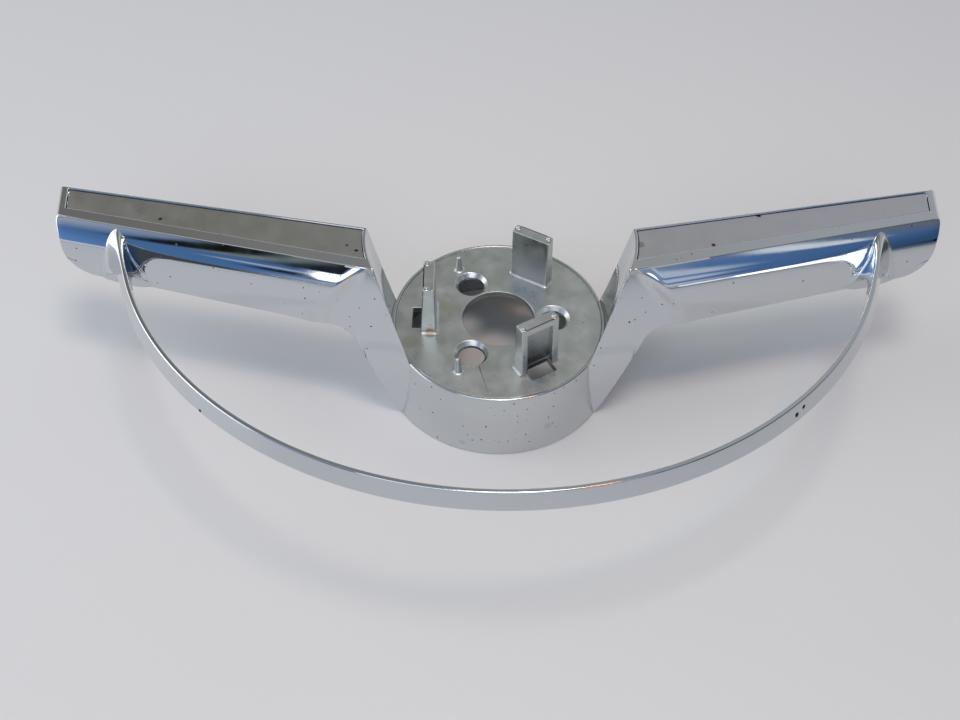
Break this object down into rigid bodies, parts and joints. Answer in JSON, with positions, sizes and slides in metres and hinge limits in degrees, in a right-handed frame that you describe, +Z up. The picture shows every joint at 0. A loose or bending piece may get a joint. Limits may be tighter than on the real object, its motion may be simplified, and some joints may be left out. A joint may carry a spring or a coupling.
{
  "type": "horn ring",
  "caption": "Half-circle horn ring for a car steering wheel: a conical cup hub with catch posts, swept arms with satin panels and a slim half ring, brightly plated.",
  "frame": {"origin": "on the hub's axis, in the plane of the hub's base rim", "axes": "+Z up along the hub's axis, towards the driver; +X along the right arm's side; +Y towards the rear, the side the arms sweep to, with the half ring at -Y"},
  "size_m": [0.3416, 0.1558, 0.0671],
  "materials": {
    "bright_chrome": "bright nickel-chrome plating on a zinc die casting",
    "satin_plating": "thin dull plating on the unpolished inside of the casting",
    "brushed_panel": "lengthwise brushed satin insert"
  },
  "bodies": {
    "root": {"hub_skirt": "bright_chrome", "hub_plate": "satin_plating", "catch_post_rear": "satin_plating", "catch_post_left": "satin_plating", "catch_post_front": "satin_plating", "locating_pin_rear": "satin_plating", "locating_pin_front": "satin_plating", "leg_left": "bright_chrome", "leg_right": "bright_chrome", "arm_left": "bright_chrome", "arm_right": "bright_chrome", "panel_left": "brushed_panel", "panel_right": "brushed_panel", "ring_root_left": "bright_chrome", "ring_root_right": "bright_chrome", "half_ring": "bright_chrome"}
  },
  "joints": []
}
